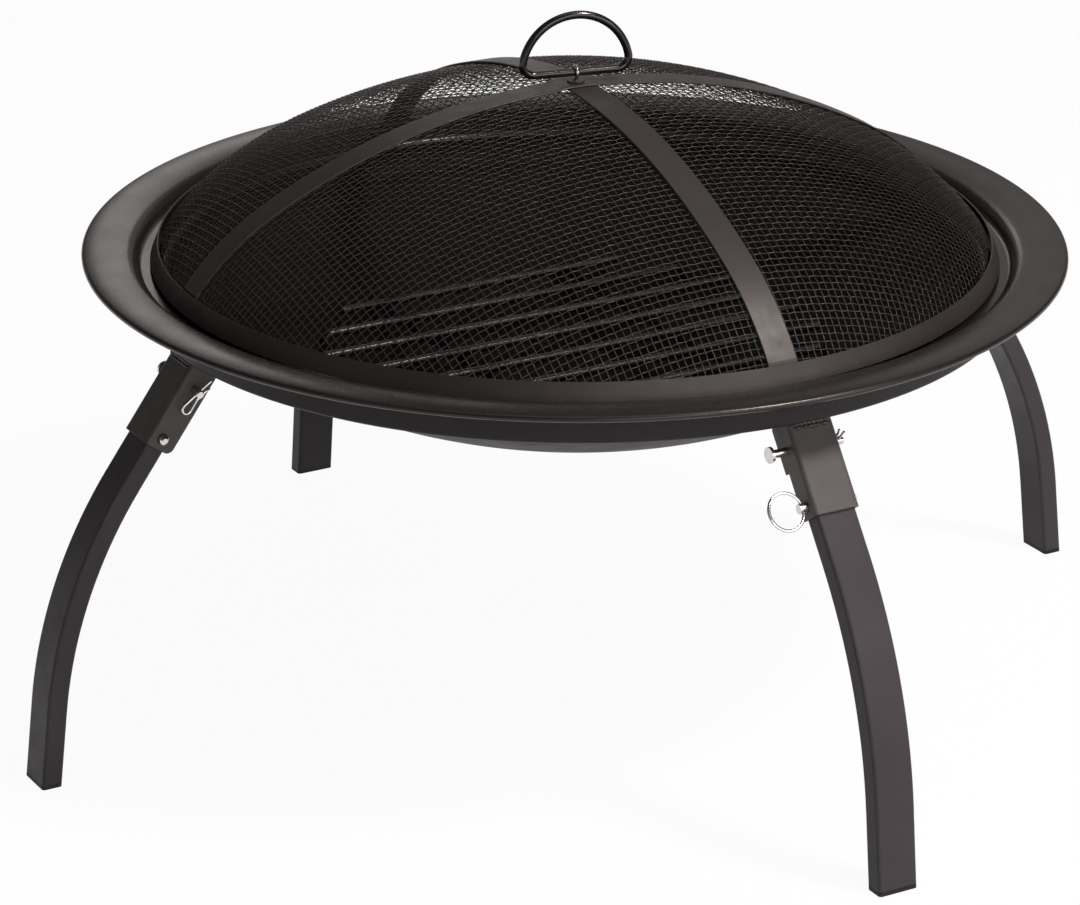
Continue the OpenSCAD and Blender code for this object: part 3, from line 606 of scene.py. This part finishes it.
FLOOR_HALF, FLOOR_DROP = 9.0, 0.0002
FLOOR_COLOUR, FLOOR_ROUGH = (0.86, 0.86, 0.86, 1), 0.9
FLOOR_GLOW = 0.95
SKY = ((0.02, (0.40, 0.385, 0.375, 1)), (0.25, (0.11, 0.107, 0.104, 1)), (0.60, (0.05, 0.05, 0.05, 1)))
LAMP_COLOUR = (1.0, 0.955, 0.935)
LAMPS = {
    "key": ((0.80, -1.36, 2.40), (0, -0.1, 0.25), (0.5, 0.4), 68),
    "front": ((0.38, -2.67, 1.15), (0, -0.1, 0.25), (3.4, 1.2), 50),
    "back": ((1.75, 2.15, 1.50), (0.1, -0.05, 0.30), (1.2, 0.8), 1.3),
    "rim": ((1.00, 2.50, 1.30), (-0.32, 0, 0.30), (0.7, 0.6), 2.4),
    "left": ((-2.60, -0.30, 1.50), (0, 0, 0.30), (1.2, 1.6), 1),
    "top": ((0.70, 0.30, 3.00), (0, 0, 0.30), (2.4, 2.4), 16),
}
LENS_MM, SENSOR_MM = 150, 36
CAMERA_PLACE = Vector((-1.4379, -2.4700, 1.3026))
CAMERA_AIM = Vector((-0.0198, 0.0113, 0.1531))
CAMERA_ROLL = math.radians(0.19)
CAMERA_NEAR, CAMERA_FAR = 0.1, 50


def light_path_mix(tree, seen, other, out):
    """Shows one shader to the camera, in reflections and through glass, and the other to all else."""
    path = tree.nodes.new("ShaderNodeLightPath")
    first = tree.nodes.new("ShaderNodeMath")
    first.operation = "MAXIMUM"
    second = tree.nodes.new("ShaderNodeMath")
    second.operation = "MAXIMUM"
    mix = tree.nodes.new("ShaderNodeMixShader")
    join(tree, path, "Is Camera Ray", first, 0)
    join(tree, path, "Is Glossy Ray", first, 1)
    join(tree, first, 0, second, 0)
    join(tree, path, "Is Transmission Ray", second, 1)
    join(tree, second, 0, mix, 0)
    join(tree, other, 0, mix, 1)
    join(tree, seen, 0, mix, 2)
    join(tree, mix, 0, out, "Surface")


def make_floor():
    """White floor that keeps a faint shadow of the object."""
    mesh = bpy.data.meshes.new("floor")
    h = FLOOR_HALF
    mesh.from_pydata([(-h, -h, 0), (h, -h, 0), (h, h, 0), (-h, h, 0)], [], [(0, 1, 2, 3)])
    floor = bpy.data.objects.new("floor", mesh)
    floor.location.z = -FLOOR_DROP
    bpy.context.scene.collection.objects.link(floor)
    material = bpy.data.materials.new("floor_white")
    material.use_nodes = True
    tree = material.node_tree
    matt = tree.nodes["Principled BSDF"]
    set_input(matt, "Base Color", FLOOR_COLOUR)
    set_input(matt, "Roughness", FLOOR_ROUGH)
    glow = tree.nodes.new("ShaderNodeEmission")
    set_input(glow, "Strength", 1.0)
    paler = tree.nodes.new("ShaderNodeMixShader")
    set_input(paler, 0, FLOOR_GLOW)
    join(tree, matt, 0, paler, 1)
    join(tree, glow, 0, paler, 2)
    light_path_mix(tree, paler, matt, tree.nodes["Material Output"])
    mesh.materials.append(material)


def make_world():
    """Studio that is paler at the horizon and dark overhead."""
    world = bpy.data.worlds.new("studio")
    bpy.context.scene.world = world
    world.use_nodes = True
    tree = world.node_tree
    place = tree.nodes.new("ShaderNodeTexCoord")
    split = tree.nodes.new("ShaderNodeSeparateXYZ")
    shade = tree.nodes.new("ShaderNodeValToRGB")
    stops = shade.color_ramp.elements
    stops[0].position, stops[0].color = SKY[0]
    stops[1].position, stops[1].color = SKY[2]
    middle = stops.new(SKY[1][0])
    middle.color = SKY[1][1]
    join(tree, place, "Generated", split, "Vector")
    join(tree, split, "Z", shade, "Fac")
    join(tree, shade, "Color", tree.nodes["Background"], "Color")
    set_input(tree.nodes["Background"], "Strength", 1.0)


def make_lamp(name, place, aim, size, power):
    data = bpy.data.lights.new(name, "AREA")
    data.shape = "RECTANGLE"
    data.size, data.size_y = size
    data.energy = power
    data.color = LAMP_COLOUR
    lamp = bpy.data.objects.new(name, data)
    lamp.location = place
    lamp.rotation_euler = (Vector(aim) - Vector(place)).to_track_quat("-Z", "Y").to_euler()
    bpy.context.scene.collection.objects.link(lamp)


def make_camera():
    data = bpy.data.cameras.new("camera")
    data.lens = LENS_MM
    data.sensor_width = SENSOR_MM
    data.clip_start, data.clip_end = CAMERA_NEAR, CAMERA_FAR
    camera = bpy.data.objects.new("camera", data)
    look = (CAMERA_AIM - CAMERA_PLACE).to_track_quat("-Z", "Y").to_matrix().to_4x4()
    camera.matrix_world = Matrix.Translation(CAMERA_PLACE) @ look @ Matrix.Rotation(CAMERA_ROLL, 4, "Z")
    bpy.context.scene.collection.objects.link(camera)
    bpy.context.scene.camera = camera


make_floor()
make_world()
for name, lamp in LAMPS.items():
    make_lamp(name, *lamp)
make_camera()
bpy.context.scene.view_settings.view_transform = "Standard"
